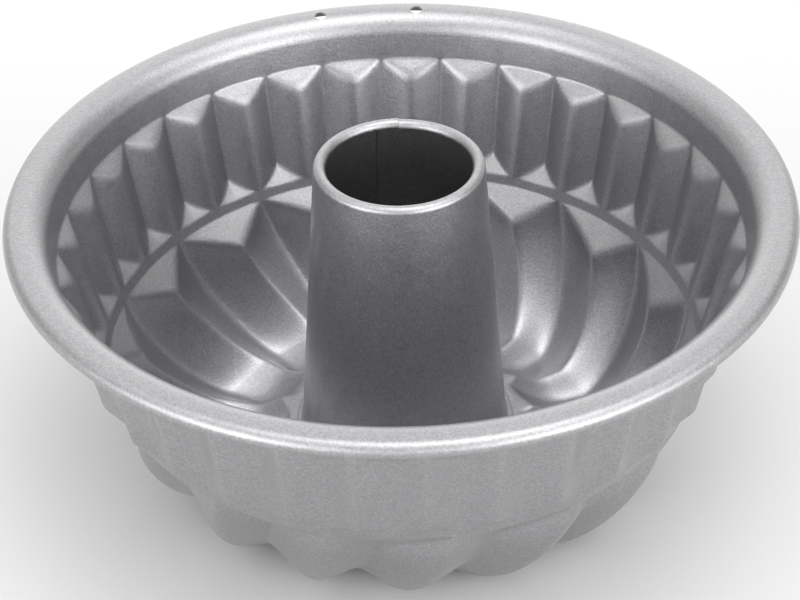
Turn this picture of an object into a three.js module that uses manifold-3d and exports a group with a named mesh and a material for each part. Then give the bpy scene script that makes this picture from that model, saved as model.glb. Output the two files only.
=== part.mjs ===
// Fluted tube pan: a pressed steel ring-cake pan with a rolled cone tube crimped into its floor.
// Millimetres, +Z up. The origin is on the pan's axis, at the level of the table that it stands on.
// The two hanging holes in the rim are at the +Y side.
import * as THREE from "three";
import { ParametricGeometry } from "three/addons/geometries/ParametricGeometry.js";
import { mergeVertices } from "three/addons/utils/BufferGeometryUtils.js";
import Module from "manifold-3d";

// Sheets and fits
const BODY_SHEET = 0.6;
const TUBE_SHEET = 0.5;
const CLEARANCE = 0.3;

// Rim: a flat flange with a rolled outer edge, and two hanging holes
const RIM_RADIUS = 110;
const RIM_HEIGHT = 92.5;
const ROLL_RADIUS = 2.1;
const ROLL_END = -90;
const FLANGE_WIDTH = 5.45;
const SHOULDER_RADIUS = 6.5;
const HOLE_DIAMETER = 3.8;
const HOLE_INSET = 6;
const HOLE_SPACING = 30.6;

// Wall: plain collar, band of upright flutes, plain ring. Depths and drops go down, and insets go in
// towards the axis. EASE is the short drop from the collar or the ring to the outer end of a ledge.
// The roundings of folds are shares of the way from a fold's outer line to its inner one.
const COLLAR_DEPTH = 13.8;
const COLLAR_DRAFT = 8;
const BAND_DEPTH = 34.5;
const BAND_INSET = 10.1;
const LEDGE_DROP = 5.0;
const LEDGE_INSET = 2.5;
const LOWER_LEDGE_RISE = 4.6;
const LOWER_LEDGE_OUTSET = 4.6;
const EASE = 0.6;
const UPRIGHT_ROUNDING = 0.8;
const RING_DEPTH = 3.2;
const RING_INSET = 0.8;

// Bowl: swirled channels between ridges, which end at a flat floor round the tube
const FLUTES = 16;
const FLUTE_PHASE = 3.8;
const RIDGE_DROP = 7.8;
const RIDGE_INSET = 7.6;
const RIDGE_LOW = 5.1;
const RIDGE_ROUNDING = 0.15;
const BOWL_POWER = 1.55;
const SWIRL_ANGLE = 11.5;
const RIDGE_LAG = 2.2;
const LAND_LENGTH = 6;
const LAND_SHARE = 0.25;
const CHANNEL_END_LENGTH = 18;
const RIDGE_END_LENGTH = 11;
const FLOOR_HEIGHT = 10.5;
const FLOOR_MARGIN = 2.7;
const FLOOR_SCALLOP = 3.6;

// Tube: a lapped cone, rolled in at its top and crimped round the edge of the floor's hole.
// Its length is counted from the floor.
const TUBE_LENGTH = 91.3;
const TUBE_TOP_RADIUS = 23.9;
const TUBE_FOOT_RADIUS = 30.6;
const TUBE_ROLL_RADIUS = 1.5;
const TUBE_ROLL_END = 180;
const FOOT_FLANGE = 1.9;
const NECK_INSET = 1.5;
const CRIMP_WIDTH = 2.2;
const LAP_BEARING = 85;
const LAP_ANGLE = 15.5;

// Facets
const COLUMNS_PER_FLUTE = 8;
const TUBE_COLUMNS = 40;
const HOLE_SIDES = 24;
const ROLL_STEPS = 4;
const SHOULDER_STEPS = 3;
const DROP_STEPS = 4;
const CLIMB_MIDDLE = 0.6;
const LAP_SLOPE = 0.4;
const WELD = 1e-4;

const radians = THREE.MathUtils.degToRad;
const wasm = await Module();
wasm.setup();

// Point of a section: radius from the axis and height above the table.
const at = (radius, height) => new THREE.Vector2(radius, height);

// Points along a round stretch of a section, angles in degrees from straight out.
function arc(center, radius, from, to, steps) {
  const curve = new THREE.EllipseCurve(
    center.x, center.y, radius, radius, radians(from), radians(to), to < from,
  );
  return curve.getPoints(steps);
}

// Closed surface through a grid of points, joined both ways: along each row and from the last row to the first.
function closedSurface(grid) {
  const rows = grid.length;
  const columns = grid[0].length;
  const pick = (u, v, target) =>
    target.copy(grid[Math.round(v * rows) % rows][Math.round(u * columns) % columns]);
  const geometry = new ParametricGeometry(pick, columns, rows);
  geometry.deleteAttribute("normal");
  geometry.deleteAttribute("uv");
  return mergeVertices(geometry, WELD);
}

function toSolid(geometry) {
  const vertProperties = new Float32Array(geometry.attributes.position.array);
  const triVerts = new Uint32Array(geometry.index.array);
  return new wasm.Manifold(new wasm.Mesh({ numProp: 3, vertProperties, triVerts }));
}

function toGeometry(solid) {
  const mesh = solid.getMesh();
  const geometry = new THREE.BufferGeometry();
  geometry.setAttribute("position", new THREE.BufferAttribute(mesh.vertProperties, 3));
  geometry.setIndex(new THREE.BufferAttribute(mesh.triVerts, 1));
  return geometry;
}

// Levels and radii that follow from the sizes above, all on the middle of the sheet
const half = BODY_SHEET / 2;
const rimLevel = RIM_HEIGHT - half;
const rollCenter = at(RIM_RADIUS - half - ROLL_RADIUS, rimLevel - ROLL_RADIUS);
const shoulderCenter = at(RIM_RADIUS - FLANGE_WIDTH, rimLevel - SHOULDER_RADIUS);
const shoulder = arc(shoulderCenter, SHOULDER_RADIUS, 90, 180 - COLLAR_DRAFT, SHOULDER_STEPS);
const collarTop = shoulder.at(-1);
const collarLevel = RIM_HEIGHT - COLLAR_DEPTH;
const collarRadius = collarTop.x - (collarTop.y - collarLevel) * Math.tan(radians(COLLAR_DRAFT));
const collarEnd = at(collarRadius, collarLevel);
const ringTop = at(collarEnd.x - BAND_INSET, collarEnd.y - BAND_DEPTH);
const ringEnd = at(ringTop.x - RING_INSET, ringTop.y - RING_DEPTH);
const floorLevel = FLOOR_HEIGHT - half;
const footRadius = TUBE_FOOT_RADIUS + FOOT_FLANGE;
const neckRadius = TUBE_FOOT_RADIUS - NECK_INSET;
const channelEdge = footRadius + FLOOR_MARGIN;
const ridgeEdge = channelEdge + FLOOR_SCALLOP;

// The two lines that the sheet folds between in the bowl: down the bottom of a channel and along a ridge.
const channel = {
  top: at(ringEnd.x, ringEnd.y - EASE),
  low: half,
  length: CHANNEL_END_LENGTH,
  edge: channelEdge,
};
const ridge = {
  top: at(ringEnd.x - RIDGE_INSET, ringEnd.y - RIDGE_DROP),
  low: RIDGE_LOW,
  length: RIDGE_END_LENGTH,
  edge: ridgeEdge,
};

// Part of the line that drops from the ring as a quarter of a superellipse, at an angle from 0 to 90 degrees.
function bowlDrop(line, angle) {
  const foot = line.edge + line.length + LAND_LENGTH;
  const across = Math.cos(radians(angle)) ** (2 / BOWL_POWER);
  const down = Math.sin(radians(angle)) ** (2 / BOWL_POWER);
  return at(foot + (line.top.x - foot) * across, line.top.y + (line.low - line.top.y) * down);
}

// Part of the line that climbs to the floor as a parabola, from the flat land at share 0 to the edge at share 1.
function bowlClimb(line, share) {
  return at(line.edge + line.length * (1 - share), line.low + (floorLevel - line.low) * share ** 2);
}

// How far towards the ridge, from 0 to 1, a place lies that is a number of flutes round from a channel's bottom.
// A share of the channel is flat land, and the ridge's crest is rounded.
function fold(turns, landShare, rounding) {
  const wave = 1 - Math.abs(1 - 2 * THREE.MathUtils.euclideanModulo(turns, 1));
  const climb = Math.max(0, (wave - landShare) / (1 - landShare));
  const fall = (away) => Math.hypot(away, rounding) - rounding;
  return 1 - fall(1 - climb) / fall(1);
}

// How far the channels have turned round the axis, in degrees, at a place on their bottom line. They turn in step
// with the mean of the shares by which the line has come down and in, and don't turn further on the land.
function swirl(point) {
  const foot = bowlDrop(channel, 90);
  const down = (channel.top.y - point.y) / (channel.top.y - foot.y);
  const inwards = (channel.top.x - point.x) / (channel.top.x - foot.x);
  return (SWIRL_ANGLE * (down + inwards)) / 2;
}

// Rows of the body's sheet from the end of the rolled rim to the edge of the floor's hole. Each row gives the
// point of the section and its turn at a number of flutes round from a channel's bottom. The ridges turn a little
// more than the channels. In a level row the sheet lies flat.
function bodyRows() {
  const plain = (point, level = false, turn = 0) => ({ place: () => point, turn: () => turn, level });
  const upright = (outer, inner) => ({
    place: (turns) => outer.clone().lerp(inner, fold(2 * turns + 0.5, 0, UPRIGHT_ROUNDING)),
    turn: () => 0,
    level: false,
  });
  const swirled = (outer, inner, turn, landShare, rounding, power, level) => {
    const share = (turns) => fold(turns, landShare, rounding) ** power;
    return {
      place: (turns) => outer.clone().lerp(inner, share(turns)),
      turn: (turns) => turn + RIDGE_LAG * share(turns),
      level,
      landShare,
    };
  };
  const roll = arc(rollCenter, ROLL_RADIUS, ROLL_END, 90, ROLL_STEPS);
  const ledgeTop = at(collarEnd.x - LEDGE_INSET, collarEnd.y - LEDGE_DROP);
  const ledgeFoot = at(ringTop.x + LOWER_LEDGE_OUTSET, ringTop.y + LOWER_LEDGE_RISE);
  const drop = (angle, level = false) => {
    const depth = Math.sin(radians(angle));
    const lines = [bowlDrop(channel, angle), bowlDrop(ridge, angle)];
    return swirled(...lines, swirl(lines[0]), LAND_SHARE * depth, RIDGE_ROUNDING * depth, 1, level);
  };
  const climb = (share, level = false) => {
    const lines = [bowlClimb(channel, share), bowlClimb(ridge, share)];
    return swirled(...lines, SWIRL_ANGLE, LAND_SHARE * (1 - share), RIDGE_ROUNDING, 1 + share, level);
  };
  const dropAngles = Array.from({ length: DROP_STEPS }, (_, step) => (90 * step) / DROP_STEPS);
  return [
    ...roll.slice(0, -1).map((point) => plain(point)),
    plain(roll.at(-1), true),
    plain(shoulder[0], true),
    ...shoulder.slice(1).map((point) => plain(point)),
    plain(collarEnd),
    upright(at(collarEnd.x, collarEnd.y - EASE), ledgeTop),
    upright(ledgeFoot, at(ringTop.x, ringTop.y + EASE)),
    plain(ringTop),
    plain(ringEnd),
    ...dropAngles.map((angle) => drop(angle)),
    drop(90, true),
    climb(0, true),
    climb(CLIMB_MIDDLE),
    climb(1),
    plain(at(channelEdge - FLOOR_MARGIN / 2, floorLevel), true, SWIRL_ANGLE),
    plain(at(neckRadius + CLEARANCE, floorLevel), true, SWIRL_ANGLE),
  ];
}

// Points on the middle of the sheet, and the directions towards the cake side in which its thickness is set off.
function bodySheet() {
  const columns = FLUTES * COLUMNS_PER_FLUTE;
  const rows = bodyRows();
  const middle = rows.map((row) =>
    Array.from({ length: columns }, (_, column) => {
      const turns = column / COLUMNS_PER_FLUTE;
      const point = row.place(turns);
      const bearing = radians(FLUTE_PHASE + (turns * 360) / FLUTES - row.turn(turns));
      return new THREE.Vector3(point.x * Math.cos(bearing), point.x * Math.sin(bearing), point.y);
    }),
  );
  const up = new THREE.Vector3(0, 0, 1);
  const facing = middle.map((points, row) =>
    points.map((_, column) => {
      const { level, landShare } = rows[row];
      const onLand = landShare === undefined || fold(column / COLUMNS_PER_FLUTE, landShare, 0) === 0;
      if (level && onLand) return up;
      const around = points[(column + 1) % columns].clone().sub(points.at(column - 1));
      const next = middle[Math.min(row + 1, rows.length - 1)][column];
      const along = next.clone().sub(middle[Math.max(row - 1, 0)][column]);
      return around.cross(along).normalize();
    }),
  );
  return { middle, facing };
}

// The sheet's face at a distance from its middle.
const offsetFace = ({ middle, facing }, distance) =>
  middle.map((points, row) =>
    points.map((point, column) => point.clone().addScaledVector(facing[row][column], distance)),
  );

function hangingHole(side) {
  const radius = HOLE_DIAMETER / 2;
  const cutter = new THREE.CylinderGeometry(radius, radius, 2 * SHOULDER_RADIUS, HOLE_SIDES);
  cutter.deleteAttribute("normal");
  cutter.deleteAttribute("uv");
  cutter.rotateX(Math.PI / 2);
  const across = (side * HOLE_SPACING) / 2;
  cutter.translate(across, Math.sqrt((RIM_RADIUS - HOLE_INSET) ** 2 - across ** 2), rimLevel);
  return toSolid(mergeVertices(cutter, WELD));
}

function panBody() {
  const sheet = bodySheet();
  const cakeSide = offsetFace(sheet, half);
  const outside = offsetFace(sheet, -half).reverse();
  let solid = toSolid(closedSurface([...cakeSide, ...outside]));
  for (const side of [-1, 1]) solid = solid.subtract(hangingHole(side));
  return toGeometry(solid);
}

// Closed section of the tube with heights counted from the floor, from the end of the rolled top edge down the
// inside, round the crimp and up the outside.
// Each point says on which side of the sheet it lies, because the lap's two edges step those sides differently.
function tubeSection() {
  const t = TUBE_SHEET / 2;
  const rollMiddle = at(TUBE_TOP_RADIUS - t - TUBE_ROLL_RADIUS, TUBE_LENGTH - t - TUBE_ROLL_RADIUS);
  const underFloor = -BODY_SHEET;
  const crimpRadius = neckRadius + CRIMP_WIDTH;
  const fillet = FOOT_FLANGE / 2;
  const flangeTop = 2 * TUBE_SHEET;
  const inside = [
    ...arc(rollMiddle, TUBE_ROLL_RADIUS - t, TUBE_ROLL_END, 0, ROLL_STEPS),
    at(TUBE_FOOT_RADIUS - TUBE_SHEET, flangeTop + fillet),
  ];
  const crimp = [
    at(neckRadius - TUBE_SHEET, 0),
    at(neckRadius - TUBE_SHEET, underFloor - TUBE_SHEET),
    at(crimpRadius, underFloor - TUBE_SHEET),
    at(crimpRadius, underFloor),
    at(neckRadius, underFloor),
    at(neckRadius, 0),
    at(footRadius, 0),
    at(footRadius, flangeTop),
  ];
  const outside = [
    at(TUBE_FOOT_RADIUS + fillet, flangeTop),
    at(TUBE_FOOT_RADIUS + fillet / 3, flangeTop + fillet / 3),
    at(TUBE_FOOT_RADIUS, flangeTop + fillet),
    ...arc(rollMiddle, TUBE_ROLL_RADIUS + t, 0, TUBE_ROLL_END, ROLL_STEPS),
  ];
  const tag = (points, side) => points.map((point) => ({ point, side }));
  return [...tag(inside, "inside"), ...tag(crimp, "crimp"), ...tag(outside, "outside")];
}

// A rolled sheet winds outwards by its own thickness in one turn, so each face of the tube steps where one end of
// the sheet lies on it.
function lapStep(side, bearing) {
  if (side === "crimp") return 0;
  const edge = side === "outside" ? LAP_BEARING : LAP_BEARING + LAP_ANGLE;
  return (TUBE_SHEET * THREE.MathUtils.euclideanModulo(edge - bearing, 360)) / 360 - TUBE_SHEET / 2;
}

function centerTube() {
  const edges = [LAP_BEARING, LAP_BEARING + LAP_ANGLE];
  const even = Array.from({ length: TUBE_COLUMNS }, (_, column) => (column * 360) / TUBE_COLUMNS);
  const clear = even.filter((bearing) => edges.every((edge) => Math.abs(bearing - edge) > 3 * LAP_SLOPE));
  const steps = edges.flatMap((edge) => [edge - LAP_SLOPE / 2, edge + LAP_SLOPE / 2]);
  const bearings = [...clear, ...steps].sort((a, b) => a - b);
  const grid = tubeSection().map(({ point, side }) =>
    bearings.map((bearing) => {
      const radius = point.x + lapStep(side, bearing);
      const angle = radians(bearing);
      return new THREE.Vector3(radius * Math.cos(angle), radius * Math.sin(angle), point.y);
    }),
  );
  return toGeometry(toSolid(closedSurface(grid)));
}

const coating = new THREE.MeshStandardMaterial({ color: 0x8f9093, roughness: 0.42, metalness: 0.85 });

function named(name, geometry) {
  geometry.computeVertexNormals();
  const mesh = new THREE.Mesh(geometry, coating.clone());
  mesh.name = name;
  return mesh;
}

const body = named("pan_body", panBody());
const tube = named("center_tube", centerTube());
tube.position.z = FLOOR_HEIGHT;

const pan = new THREE.Group();
pan.add(body, tube);

export default pan;
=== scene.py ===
"""Fluted tube pan: pressed body and rolled tube as fine sheet surfaces with a satin metallic coating."""
import math

import bpy
import numpy as np
from mathutils import Matrix, Vector


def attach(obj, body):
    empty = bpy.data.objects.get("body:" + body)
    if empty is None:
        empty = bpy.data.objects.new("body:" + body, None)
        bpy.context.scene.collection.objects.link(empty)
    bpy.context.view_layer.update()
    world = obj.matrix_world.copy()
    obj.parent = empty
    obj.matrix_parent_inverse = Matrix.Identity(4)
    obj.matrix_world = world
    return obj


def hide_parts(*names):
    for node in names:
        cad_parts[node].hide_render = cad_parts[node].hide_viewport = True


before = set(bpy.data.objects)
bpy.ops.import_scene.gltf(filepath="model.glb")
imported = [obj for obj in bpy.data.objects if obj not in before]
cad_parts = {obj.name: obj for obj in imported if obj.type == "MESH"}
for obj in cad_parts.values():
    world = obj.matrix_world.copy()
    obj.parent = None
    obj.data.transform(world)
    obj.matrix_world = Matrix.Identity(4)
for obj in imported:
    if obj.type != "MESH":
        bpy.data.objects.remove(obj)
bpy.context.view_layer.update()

MM = 0.001

# Sheets and fits, in millimetres like all sizes below
BODY_SHEET = 0.6
TUBE_SHEET = 0.5
CLEARANCE = 0.3

# Rim: flat flange with two hanging holes and a rolled edge that ends at an angle from level
RIM_RADIUS = 110.0
RIM_HEIGHT = 92.5
ROLL_RADIUS = 2.5
ROLL_END = -14.0
FLANGE_WIDTH = 5.45
SHOULDER_RADIUS = 6.5
HOLE_DIAMETER = 3.8
HOLE_INSET = 6.0
HOLE_SPACING = 30.6

# Wall: plain collar, band of upright flutes with a ledge at each end, plain ring
COLLAR_DEPTH = 13.8
COLLAR_DRAFT = 8.0
BAND_DEPTH = 34.5
BAND_INSET = 10.1
LEDGE_DROP = 3.7
LEDGE_INSET = 4.2
LOWER_LEDGE_RISE = 4.6
LOWER_LEDGE_OUTSET = 4.6
EASE = 0.6
RING_DEPTH = 3.2
RING_INSET = 0.8

# Bowl: swirled channels between ridges, ending at the flat floor round the tube. Each channel has two upright
# flutes of the band above it
FLUTES = 16
FLUTE_PHASE = 3.8
UPRIGHTS_PER_FLUTE = 2
RIDGE_DROP = 7.8
RIDGE_INSET = 7.6
RIDGE_LOW = 5.1
BOWL_POWER = 1.55
SWIRL_ANGLE = 11.5
RIDGE_LAG = 2.2
LAND_LENGTH = 6.0
CHANNEL_END_LENGTH = 18.0
RIDGE_END_LENGTH = 11.0
FLOOR_HEIGHT = 10.5
FLOOR_MARGIN = 2.7
FLOOR_SCALLOP = 3.6
FLOOR_ROW_SHARE = 0.6

# Tube: lapped cone, rolled in at the top and crimped into the floor
TUBE_LENGTH = 91.3
TUBE_TOP_RADIUS = 23.9
TUBE_FOOT_RADIUS = 30.6
TUBE_ROLL_RADIUS = 1.5
FOOT_FLANGE = 1.9
NECK_INSET = 1.5
CRIMP_WIDTH = 2.2
LAP_BEARING = 85.0
LAP_ANGLE = 15.5

# How far the pressed corners are rounded along the section, and over what share of the way to the next row
# at most
CORNER_REACH = {
    "collar": 0.8, "ledge_top": 2.6, "ledge_foot": 1.6, "ring": 0.6, "cap": 2.6, "floor": 1.4}
CORNER_LIMIT = 0.48

# How softly the folds turn: the uprights at their outer and inner lines, the channels and ridges at the ring
# and at the bottom
UPRIGHT_TOP_SOFT = (0.05, 0.45)
UPRIGHT_FOOT_SOFT = (0.05, 0.8)
CHANNEL_SOFT = (0.06, 0.24)
RIDGE_SOFT = (0.05, 0.15)

# Grid of the body: points along its curves, angles of the rows down the bowl, and columns in each facet of an
# upright flute, crowded towards the folds
ROLL_POINTS = 11
SHOULDER_POINTS = 9
CORNER_POINTS = 5
DROP_ANGLES = (0, *np.linspace(12, 90, 14))
CLIMB_POINTS = 8
COLUMNS_PER_FACET = 8
COLUMN_CROWDING = 0.6
HOLE_POINTS = 48

# Grid of the tube: points along its curves, columns round it, and the degrees that each edge of the lap keeps
# clear and steps within
TUBE_WALL_POINTS = 8
TUBE_ROLL_POINTS = {"inside": 13, "outside": 15}
LIP_POINTS = 7
CURL_POINTS = 5
BEAD_POINTS = 6
TUBE_COLUMNS = 180
LAP_CLEAR = 0.7
LAP_EDGE = 0.08

# Edges that turn by more degrees than this are shaded sharp
SHARP_ANGLE = 50.0

# Coating: scale, detail and roughness of its noises
COATING_NOISES = {"flakes": (1500.0, 2.0, 0.7), "mottle": (420.0, 3.0, 0.6), "cloud": (28.0, 2.0, 0.5)}

# Coating: tone of its metal flakes, how the noises vary it, and its slight blue cast
FLAKE_TONE = 0.34
TONE_BASE = 0.47
TONE_FLAKES = 0.8
TONE_MOTTLE = 0.20
TONE_CLOUD = 0.06
BLUE_CAST = 1.025

# Coating: its roughness, the fine grain of its surface, and the clear binder over the flakes
ROUGH_BASE = 0.36
ROUGH_MOTTLE = 0.10
ROUGH_FLAKES = 0.05
GRAIN_STRENGTH = 0.35
GRAIN_DEPTH = 0.2
GRAIN_MOTTLE = 0.6
BINDER_WEIGHT = 0.7
BINDER_ROUGHNESS = 0.25

# Pale floor: half its side, its tone and its roughness
STAGE_HALF = 6000.0
STAGE_TONE = 0.55
STAGE_ROUGHNESS = 0.9

# Studio lights: bearing from the far side, clockwise seen from above, elevation, focus and strength
STUDIO_LIGHTS = {
    "overhead": (122, 81, 10, 5.6),
    "right_wall": (90, 55, 8, 1.0),
    "left_wall": (280, 55, 8, 1.6),
    "back_wall": (0, 20, 6, 2.1),
    "right_strip": (135, 8, 10, 8.0),
    "left_strip": (225, 8, 10, 7.2),
}

# Glow of the pale room at the horizon, and how fast it fades upwards
ROOM_GLOW = 0.95
ROOM_FADE = 3

# Camera, found from the photograph's outlines
CAMERA_DISTANCE = 600.0
CAMERA_ELEVATION = 36.57
CAMERA_BEARING = -94.85
CAMERA_ROLL = -1.314
CAMERA_AIM_HEIGHT = 54.36
CAMERA_SIDE = -0.74
CAMERA_LENS = 93.35
SENSOR_WIDTH = 36.0


def arc(center, radius, start, end, points):
    """Points of a circle's arc: centre plus radius times cosine and sine of an angle from start to end."""
    angle = np.radians(np.linspace(start, end, points))
    return np.stack([center[0] + radius * np.cos(angle), center[1] + radius * np.sin(angle)], axis=-1)


def levels():
    """Radii and heights that follow from the sizes above, on the middle of the body's sheet."""
    half = BODY_SHEET / 2
    rim = RIM_HEIGHT - half
    place = {"half": half, "rim": rim}
    place["roll"] = (RIM_RADIUS - half - ROLL_RADIUS, rim - ROLL_RADIUS)
    place["shoulder"] = (RIM_RADIUS - FLANGE_WIDTH, rim - SHOULDER_RADIUS)
    collar_top = arc(place["shoulder"], SHOULDER_RADIUS, 90, 180 - COLLAR_DRAFT, 2)[-1]
    collar_height = RIM_HEIGHT - COLLAR_DEPTH
    taper = (collar_top[1] - collar_height) * math.tan(math.radians(COLLAR_DRAFT))
    place["collar"] = (collar_top[0] - taper, collar_height)
    place["ring_top"] = (place["collar"][0] - BAND_INSET, place["collar"][1] - BAND_DEPTH)
    place["ring_end"] = (place["ring_top"][0] - RING_INSET, place["ring_top"][1] - RING_DEPTH)
    place["floor"] = FLOOR_HEIGHT - half
    place["foot"] = TUBE_FOOT_RADIUS + FOOT_FLANGE
    place["neck"] = TUBE_FOOT_RADIUS - NECK_INSET
    place["channel_edge"] = place["foot"] + FLOOR_MARGIN
    place["ridge_edge"] = place["channel_edge"] + FLOOR_SCALLOP
    return place


PLACE = levels()


def rounded(distance, soft):
    """Share of the way from a fold with its corner rounded: the root of distance squared plus soft squared,
    less soft, scaled so that it still reaches 1."""
    return (np.sqrt(distance**2 + soft**2) - soft) / (math.sqrt(1 + soft**2) - soft)


def fold(turns, outer_soft, inner_soft):
    """Share of the way from a fold's outer line (0) to its inner line (1): a triangle wave over turns, with
    first its outer and then its inner corner rounded."""
    outward = 1 - np.abs(1 - 2 * np.mod(turns, 1.0))
    return 1 - rounded(1 - rounded(outward, outer_soft), inner_soft)


def mix(first, second, share):
    """The value that lies a share of the way from the first to the second."""
    return first + (second - first) * share


def swirl(angle):
    """Turn of a channel's bottom in degrees: it grows in step with the mean of the shares that the line's
    superellipse has come in and down by at an angle, so it leans by about as much over each millimetre."""
    down = math.sin(math.radians(angle)) ** (2 / BOWL_POWER)
    inwards = 1 - max(0.0, math.cos(math.radians(angle))) ** (2 / BOWL_POWER)
    return SWIRL_ANGLE * (down + inwards) / 2


def between(outer, inner, share):
    """Points on the straight line from outer to inner at each share, as a row over the columns."""
    return np.asarray(outer) + (np.asarray(inner) - np.asarray(outer)) * share[:, None]


def bowl_drop(top, low, foot, angle):
    """A bowl line's fall from the ring: a quarter superellipse, with its cosine and sine to the power of
    2 over the bowl's power."""
    across = max(0.0, math.cos(math.radians(angle))) ** (2 / BOWL_POWER)
    down = math.sin(math.radians(angle)) ** (2 / BOWL_POWER)
    return foot + (top[0] - foot) * across, top[1] + (low - top[1]) * down


def bowl_climb(low, edge, length, share):
    """A bowl line's climb to the floor: a parabola that starts level and reaches the floor at share 1."""
    return edge + length * (1 - share), low + (PLACE["floor"] - low) * share**2


def body_rows(turns):
    """The body's section for each column, from the rolled edge to the floor's hole: rows of radius, height
    and the turn of the swirl. Each row also has the reach of its corner's rounding, which is 0 on a curve. A
    channel's bottom lies below the inner line of an upright flute, so those are half a fold on."""
    columns = len(turns)
    upright_turns = UPRIGHTS_PER_FLUTE * turns + 0.5
    upright_top = fold(upright_turns, *UPRIGHT_TOP_SOFT)
    upright_foot = fold(upright_turns, *UPRIGHT_FOOT_SOFT)
    rows = []

    def add(points, reach=0.0, turn=0.0):
        places = np.broadcast_to(np.asarray(points, float), (columns, 2))
        rows.append((np.column_stack([places, np.broadcast_to(turn, columns)]), reach))

    for point in arc(PLACE["roll"], ROLL_RADIUS, ROLL_END, 90, ROLL_POINTS):
        add(point)
    for point in arc(PLACE["shoulder"], SHOULDER_RADIUS, 90, 180 - COLLAR_DRAFT, SHOULDER_POINTS):
        add(point)
    collar, ring_top, ring_end = PLACE["collar"], PLACE["ring_top"], PLACE["ring_end"]
    add(collar, CORNER_REACH["collar"])
    ledge_top = (collar[0] - LEDGE_INSET, collar[1] - LEDGE_DROP)
    add(between((collar[0], collar[1] - EASE), ledge_top, upright_top), CORNER_REACH["ledge_top"])
    ledge_foot = (ring_top[0] + LOWER_LEDGE_OUTSET, ring_top[1] + LOWER_LEDGE_RISE)
    add(between(ledge_foot, (ring_top[0], ring_top[1] + EASE), upright_foot), CORNER_REACH["ledge_foot"])
    add(ring_top, CORNER_REACH["ring"])
    add(ring_end, CORNER_REACH["ring"])
    channel_top = (ring_end[0], ring_end[1] - EASE)
    ridge_top = (ring_end[0] - RIDGE_INSET, ring_end[1] - RIDGE_DROP)
    channel_foot = PLACE["channel_edge"] + CHANNEL_END_LENGTH + LAND_LENGTH
    ridge_foot = PLACE["ridge_edge"] + RIDGE_END_LENGTH + LAND_LENGTH
    half = PLACE["half"]
    for angle in DROP_ANGLES:
        channel = bowl_drop(channel_top, half, channel_foot, angle)
        ridge = bowl_drop(ridge_top, RIDGE_LOW, ridge_foot, angle)
        depth = math.sin(math.radians(angle))
        swirled = fold(turns, mix(*CHANNEL_SOFT, depth), mix(*RIDGE_SOFT, depth))
        reach = CORNER_REACH["cap"] if angle == 0 else 0.0
        add(between(channel, ridge, swirled), reach, swirl(angle) + RIDGE_LAG * swirled)
    for share in np.linspace(0, 1, CLIMB_POINTS):
        channel = bowl_climb(half, PLACE["channel_edge"], CHANNEL_END_LENGTH, share)
        ridge = bowl_climb(RIDGE_LOW, PLACE["ridge_edge"], RIDGE_END_LENGTH, share)
        scallop = swirled ** (1 + share)
        reach = CORNER_REACH["floor"] if share == 1 else 0.0
        add(between(channel, ridge, scallop), reach, SWIRL_ANGLE + RIDGE_LAG * scallop)
    add((PLACE["channel_edge"] - FLOOR_MARGIN * FLOOR_ROW_SHARE, PLACE["floor"]), turn=SWIRL_ANGLE)
    add((PLACE["neck"] + CLEARANCE, PLACE["floor"]), turn=SWIRL_ANGLE)
    return rows


def corner_share(way, reach):
    """Share of the way to the next row that a corner's rounding takes up: its reach over the way's length in
    the section, within the limit."""
    length = np.linalg.norm(way[:, :2], axis=1)
    return np.minimum(reach / length, CORNER_LIMIT)[:, None]


def rounded_rows(rows):
    """Rows with their corners rounded: each corner that has a reach becomes a quadratic Bezier curve between
    points on the ways to the rows before and after it."""
    done = []
    for index, (corner, reach) in enumerate(rows):
        if reach == 0.0:
            done.append(corner)
            continue
        before = rows[index - 1][0] - corner
        after = rows[index + 1][0] - corner
        start = corner + before * corner_share(before, reach)
        end = corner + after * corner_share(after, reach)
        for share in np.linspace(0, 1, CORNER_POINTS):
            done.append((1 - share) ** 2 * start + 2 * share * (1 - share) * corner + share**2 * end)
    return np.array(done)


def sheet_normals(points):
    """Unit normals of a grid that closes round its columns: cross products of its differences both ways."""
    around = np.roll(points, -1, axis=1) - np.roll(points, 1, axis=1)
    along = np.gradient(points, axis=0)
    normal = np.cross(around, along)
    return normal / np.linalg.norm(normal, axis=2, keepdims=True)


def closed_grid_mesh(name, grid):
    """Mesh of a grid of points that closes both ways, with one quad between each four neighbours."""
    rows, columns = grid.shape[:2]
    index = np.arange(rows * columns).reshape(rows, columns)
    right = np.roll(index, -1, axis=1)
    quads = np.stack([index, right, np.roll(right, -1, axis=0), np.roll(index, -1, axis=0)], axis=-1)
    mesh = bpy.data.meshes.new(name)
    mesh.from_pydata(grid.reshape(-1, 3) * MM, [], quads.reshape(-1, 4))
    mesh.update()
    mesh.shade_smooth()
    return mesh


def link(name, mesh):
    """Object at the origin that shows a mesh in the scene."""
    piece = bpy.data.objects.new(name, mesh)
    bpy.context.scene.collection.objects.link(piece)
    return piece


def body_turns():
    """Places of the columns, counted in flutes from a channel's bottom. Within each facet of an upright flute
    they follow a share less a sine of it, which crowds them towards the folds at both ends."""
    share = np.arange(COLUMNS_PER_FACET) / COLUMNS_PER_FACET
    crowded = share - COLUMN_CROWDING * np.sin(2 * math.pi * share) / (2 * math.pi)
    facets_per_flute = 2 * UPRIGHTS_PER_FLUTE
    facets = np.arange(FLUTES * facets_per_flute)[:, None]
    return ((facets + crowded[None, :]) / facets_per_flute).ravel()


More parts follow.
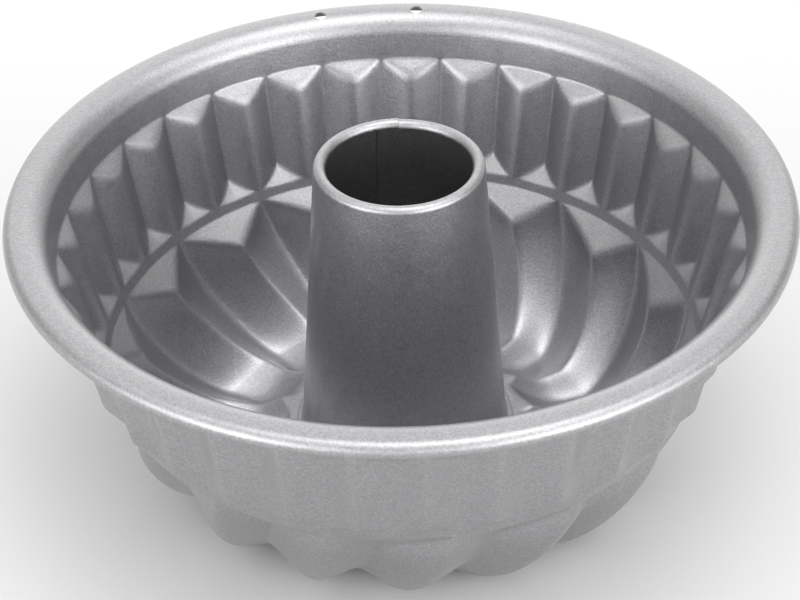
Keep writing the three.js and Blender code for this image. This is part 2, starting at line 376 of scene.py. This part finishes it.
def body_surface():
    """Both faces of the body's sheet: the rounded section turned round the axis by each column's bearing less
    its turn in the swirl, then set off by half the sheet's thickness along the normals to either side."""
    turns = body_turns()
    section = rounded_rows(body_rows(turns))
    radius, height, turn = np.moveaxis(section, -1, 0)
    bearing = np.radians(FLUTE_PHASE + turns * 360 / FLUTES - turn)
    middle = np.stack([radius * np.cos(bearing), radius * np.sin(bearing), height], axis=-1)
    normal = sheet_normals(middle)
    cake_side = middle + normal * BODY_SHEET / 2
    outside = middle - normal * BODY_SHEET / 2
    return np.concatenate([cake_side, outside[::-1]])


def hole_cutter(side):
    """Cylinder through the rim's flange at a hanging hole: a circle of points at two heights, capped."""
    across = side * HOLE_SPACING / 2
    away = math.sqrt((RIM_RADIUS - HOLE_INSET) ** 2 - across**2)
    ring = np.radians(np.linspace(0, 360, HOLE_POINTS, endpoint=False))
    circle = np.array([across, away]) + np.stack([np.cos(ring), np.sin(ring)], axis=-1) * HOLE_DIAMETER / 2
    low = np.column_stack([circle, np.full(HOLE_POINTS, PLACE["rim"] - SHOULDER_RADIUS)])
    high = np.column_stack([circle, np.full(HOLE_POINTS, PLACE["rim"] + SHOULDER_RADIUS)])
    below = np.arange(HOLE_POINTS)
    above = below + HOLE_POINTS
    sides = np.stack([below, np.roll(below, -1), np.roll(above, -1), above], axis=-1)
    mesh = bpy.data.meshes.new("hole_cutter")
    faces = [*sides.tolist(), below[::-1].tolist(), above.tolist()]
    mesh.from_pydata(np.concatenate([low, high]) * MM, [], faces)
    return link("hole_cutter", mesh)


def cut_holes(piece):
    """Takes the two hanging holes out of the body and keeps the result as its plain mesh."""
    cutters = [hole_cutter(side) for side in (-1, 1)]
    for cutter in cutters:
        cut = piece.modifiers.new("hole", "BOOLEAN")
        cut.operation = "DIFFERENCE"
        cut.solver = "MANIFOLD"
        cut.object = cutter
    bpy.context.view_layer.update()
    seen = piece.evaluated_get(bpy.context.evaluated_depsgraph_get())
    mesh = bpy.data.meshes.new_from_object(seen)
    piece.modifiers.clear()
    piece.data = mesh
    for cutter in cutters:
        bpy.data.objects.remove(cutter)


def tube_section():
    """The tube's closed section with heights from the floor: inside down from the rolled edge, crimp, outside
    up. Each row has the side of the sheet that it lies on, for the lap's steps."""
    thick = TUBE_SHEET / 2
    roll = (TUBE_TOP_RADIUS - thick - TUBE_ROLL_RADIUS, TUBE_LENGTH - thick - TUBE_ROLL_RADIUS)
    neck = PLACE["neck"]
    under = -BODY_SHEET
    crimp_radius = neck + CRIMP_WIDTH
    fillet = FOOT_FLANGE / 2
    flange_top = 2 * TUBE_SHEET
    wall = np.linspace(0, 1, TUBE_WALL_POINTS + 2)[1:-1, None]
    inner_top = np.array([[roll[0] + TUBE_ROLL_RADIUS - thick, roll[1]]])
    inner_foot = np.array([[TUBE_FOOT_RADIUS - TUBE_SHEET, flange_top + fillet]])
    outer_top = np.array([[roll[0] + TUBE_ROLL_RADIUS + thick, roll[1]]])
    outer_foot = np.array([[TUBE_FOOT_RADIUS, flange_top + fillet]])
    inside = np.concatenate([
        arc(roll, TUBE_ROLL_RADIUS - thick, 180, 0, TUBE_ROLL_POINTS["inside"]),
        mix(inner_top, inner_foot, wall), inner_foot])
    lip = arc((PLACE["foot"] - TUBE_SHEET, TUBE_SHEET), TUBE_SHEET, -90, 90, LIP_POINTS)
    curl = arc((crimp_radius - thick, under - thick), thick, -90, 90, CURL_POINTS)
    crimp = np.concatenate([
        [[neck - TUBE_SHEET, 0.0], [neck - TUBE_SHEET, under - TUBE_SHEET]],
        curl, [[neck, under], [neck, 0.0]], lip])
    bead = arc((TUBE_FOOT_RADIUS + fillet, flange_top + fillet), fillet, -90, -180, BEAD_POINTS)
    outside = np.concatenate([
        bead, mix(outer_foot, outer_top, wall),
        arc(roll, TUBE_ROLL_RADIUS + thick, 0, 180, TUBE_ROLL_POINTS["outside"])])
    sides = ["inside"] * len(inside) + ["crimp"] * len(crimp) + ["outside"] * len(outside)
    return np.concatenate([inside, crimp, outside]), np.array(sides)


def lap_step(edge, bearing):
    """Step of a face of the rolled sheet: it winds by one thickness in a turn and falls back at its end."""
    return TUBE_SHEET * np.mod(edge - bearing, 360) / 360 - TUBE_SHEET / 2


def tube_bearings():
    """Bearings of the tube's columns: even ones, with a close pair at each edge of the lap in place of those
    that are near it."""
    even = np.linspace(0, 360, TUBE_COLUMNS, endpoint=False)
    edges = np.array([LAP_BEARING, LAP_BEARING + LAP_ANGLE])
    clear = even[np.abs(even[:, None] - edges).min(axis=1) > LAP_CLEAR]
    return np.sort(np.concatenate([clear, edges - LAP_EDGE, edges + LAP_EDGE]))


def tube_surface():
    """The tube: its section turned round the axis, with its outer and inner faces stepped at the lap."""
    section, sides = tube_section()
    bearing = tube_bearings()
    outer = lap_step(LAP_BEARING, bearing)
    inner = lap_step(LAP_BEARING + LAP_ANGLE, bearing)
    on_outside = (sides == "outside")[:, None]
    on_inside = (sides == "inside")[:, None]
    radius = section[:, :1] + np.where(on_outside, outer, np.where(on_inside, inner, 0.0))
    angle = np.radians(bearing)
    height = np.broadcast_to(section[:, 1:] + FLOOR_HEIGHT, radius.shape)
    return np.stack([radius * np.cos(angle), radius * np.sin(angle), height], axis=-1)


class Value:
    """A socket that can be used in Python expressions: each operator adds one Math node."""

    def __init__(self, nodes, socket):
        self.nodes = nodes
        self.socket = socket

    def math(self, operation, *others):
        return self.nodes.make("ShaderNodeMath", {"operation": operation}, dict(enumerate((self, *others))))

    def __add__(self, other):
        return self.math("ADD", other)

    def __sub__(self, other):
        return self.math("SUBTRACT", other)

    def __mul__(self, other):
        return self.math("MULTIPLY", other)

    def __rsub__(self, other):
        return self.nodes.make("ShaderNodeMath", {"operation": "SUBTRACT"}, {0: other, 1: self})

    __radd__ = __add__
    __rmul__ = __mul__


class Nodes:
    """A node tree being written: make adds a node, sets its settings, then its sockets' values or links."""

    def __init__(self, tree):
        self.tree = tree
        tree.nodes.clear()

    def make(self, kind, settings=None, sockets=None, output=0):
        node = self.tree.nodes.new(kind)
        for name, setting in (settings or {}).items():
            setattr(node, name, setting)
        for name, value in (sockets or {}).items():
            if isinstance(value, Value):
                self.tree.links.new(value.socket, node.inputs[name])
            else:
                node.inputs[name].default_value = value
        return Value(self, node.outputs[output]) if len(node.outputs) else node


def coating(name):
    """Satin metallic non-stick coating: grey metal flakes in a clear binder. Its tone and its roughness are
    each a base plus weighted noises, and the two finer noises also raise its grain."""
    material = bpy.data.materials.new(name)
    material.use_nodes = True
    nodes = Nodes(material.node_tree)
    where = nodes.make("ShaderNodeTexCoord", output="Object")

    def noise(layer):
        scale, detail, roughness = COATING_NOISES[layer]
        return nodes.make("ShaderNodeTexNoise", {}, {
            "Vector": where, "Scale": scale, "Detail": detail, "Roughness": roughness})

    flakes, mottle, cloud = noise("flakes"), noise("mottle"), noise("cloud")
    tone = FLAKE_TONE * (TONE_BASE + TONE_FLAKES * flakes + TONE_MOTTLE * mottle + TONE_CLOUD * cloud)
    tint = nodes.make("ShaderNodeCombineColor", {}, {"Red": tone, "Green": tone, "Blue": tone * BLUE_CAST})
    rough = ROUGH_BASE + ROUGH_MOTTLE * mottle + ROUGH_FLAKES * flakes
    grain = nodes.make("ShaderNodeBump", {}, {
        "Strength": GRAIN_STRENGTH, "Distance": GRAIN_DEPTH * MM, "Height": flakes + mottle * GRAIN_MOTTLE})
    shader = nodes.make("ShaderNodeBsdfPrincipled", {}, {
        "Base Color": tint, "Metallic": 1.0, "Roughness": rough, "Normal": grain,
        "Coat Weight": BINDER_WEIGHT, "Coat Roughness": BINDER_ROUGHNESS})
    nodes.make("ShaderNodeOutputMaterial", {}, {"Surface": shader})
    return material


def pale_floor():
    """Plain pale floor under the pan: one square."""
    mesh = bpy.data.meshes.new("floor")
    corners = np.array([[-1.0, -1.0, 0.0], [1.0, -1.0, 0.0], [1.0, 1.0, 0.0], [-1.0, 1.0, 0.0]])
    mesh.from_pydata(corners * STAGE_HALF * MM, [], [[0, 1, 2, 3]])
    floor = link("floor", mesh)
    material = bpy.data.materials.new("pale_floor")
    material.use_nodes = True
    nodes = Nodes(material.node_tree)
    shader = nodes.make("ShaderNodeBsdfPrincipled", {}, {
        "Base Color": (STAGE_TONE, STAGE_TONE, STAGE_TONE, 1.0), "Roughness": STAGE_ROUGHNESS,
        "Specular IOR Level": 0.0})
    nodes.make("ShaderNodeOutputMaterial", {}, {"Surface": shader})
    mesh.materials.append(material)


def studio_light():
    """Soft studio light: the room's glow fades as a power of 1 minus the height of the direction, and each
    light falls off as e to the power of its focus times the cosine of the angle from its middle minus 1."""
    world = bpy.data.worlds.new("studio")
    bpy.context.scene.world = world
    world.use_nodes = True
    nodes = Nodes(world.node_tree)
    direction = nodes.make("ShaderNodeTexCoord", output="Generated")
    height = nodes.make("ShaderNodeSeparateXYZ", {}, {"Vector": direction}, "Z")
    level = ROOM_GLOW * (1.0 - height).math("POWER", ROOM_FADE)
    for bearing, elevation, focus, strength in STUDIO_LIGHTS.values():
        around = math.radians(CAMERA_BEARING + 180 - bearing)
        up = math.radians(elevation)
        middle = (math.cos(around) * math.cos(up), math.sin(around) * math.cos(up), math.sin(up))
        cosine = nodes.make(
            "ShaderNodeVectorMath", {"operation": "DOT_PRODUCT"}, {0: direction, 1: middle}, "Value")
        level = strength * ((cosine - 1.0) * focus).math("EXPONENT") + level
    background = nodes.make("ShaderNodeBackground", {}, {"Strength": level})
    nodes.make("ShaderNodeOutputWorld", {}, {"Surface": background})


def photo_camera():
    """Camera at the photograph's angle: it looks at the axis from a distance, elevation and bearing, a little
    to one side, and is turned a little about its own line of sight."""
    bearing = math.radians(CAMERA_BEARING)
    elevation = math.radians(CAMERA_ELEVATION)
    away = Vector((math.cos(bearing), math.sin(bearing), 0.0))
    right = Vector((-math.sin(bearing), math.cos(bearing), 0.0))
    back = away * math.cos(elevation) + Vector((0.0, 0.0, math.sin(elevation)))
    up = back.cross(right)
    roll = math.radians(CAMERA_ROLL)
    turned_right = right * math.cos(roll) + up * math.sin(roll)
    turned_up = up * math.cos(roll) - right * math.sin(roll)
    spot = (back * CAMERA_DISTANCE + right * CAMERA_SIDE + Vector((0.0, 0.0, CAMERA_AIM_HEIGHT))) * MM
    data = bpy.data.cameras.new("photo_camera")
    data.lens = CAMERA_LENS
    data.sensor_width = SENSOR_WIDTH
    camera = bpy.data.objects.new("photo_camera", data)
    turn = Matrix((turned_right, turned_up, back)).transposed().to_4x4()
    camera.matrix_world = Matrix.Translation(spot) @ turn
    bpy.context.scene.collection.objects.link(camera)
    bpy.context.scene.camera = camera


def sheet_piece(name, grid, node, slot):
    """Coated piece that stands for a CAD node: the closed grid's mesh, riding on the pan's one body."""
    mesh = closed_grid_mesh(name, grid)
    mesh.materials.append(coating(slot))
    piece = link(name, mesh)
    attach(piece, "root")
    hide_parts(node)
    return piece


body = sheet_piece("pressed_body", body_surface(), "pan_body", "body_coating")
cut_holes(body)
tube = sheet_piece("rolled_tube", tube_surface(), "center_tube", "tube_coating")
for sheet in (body, tube):
    sheet.data.set_sharp_from_angle(angle=math.radians(SHARP_ANGLE))

photo_camera()
pale_floor()
studio_light()
bpy.context.scene.view_settings.view_transform = "Standard"
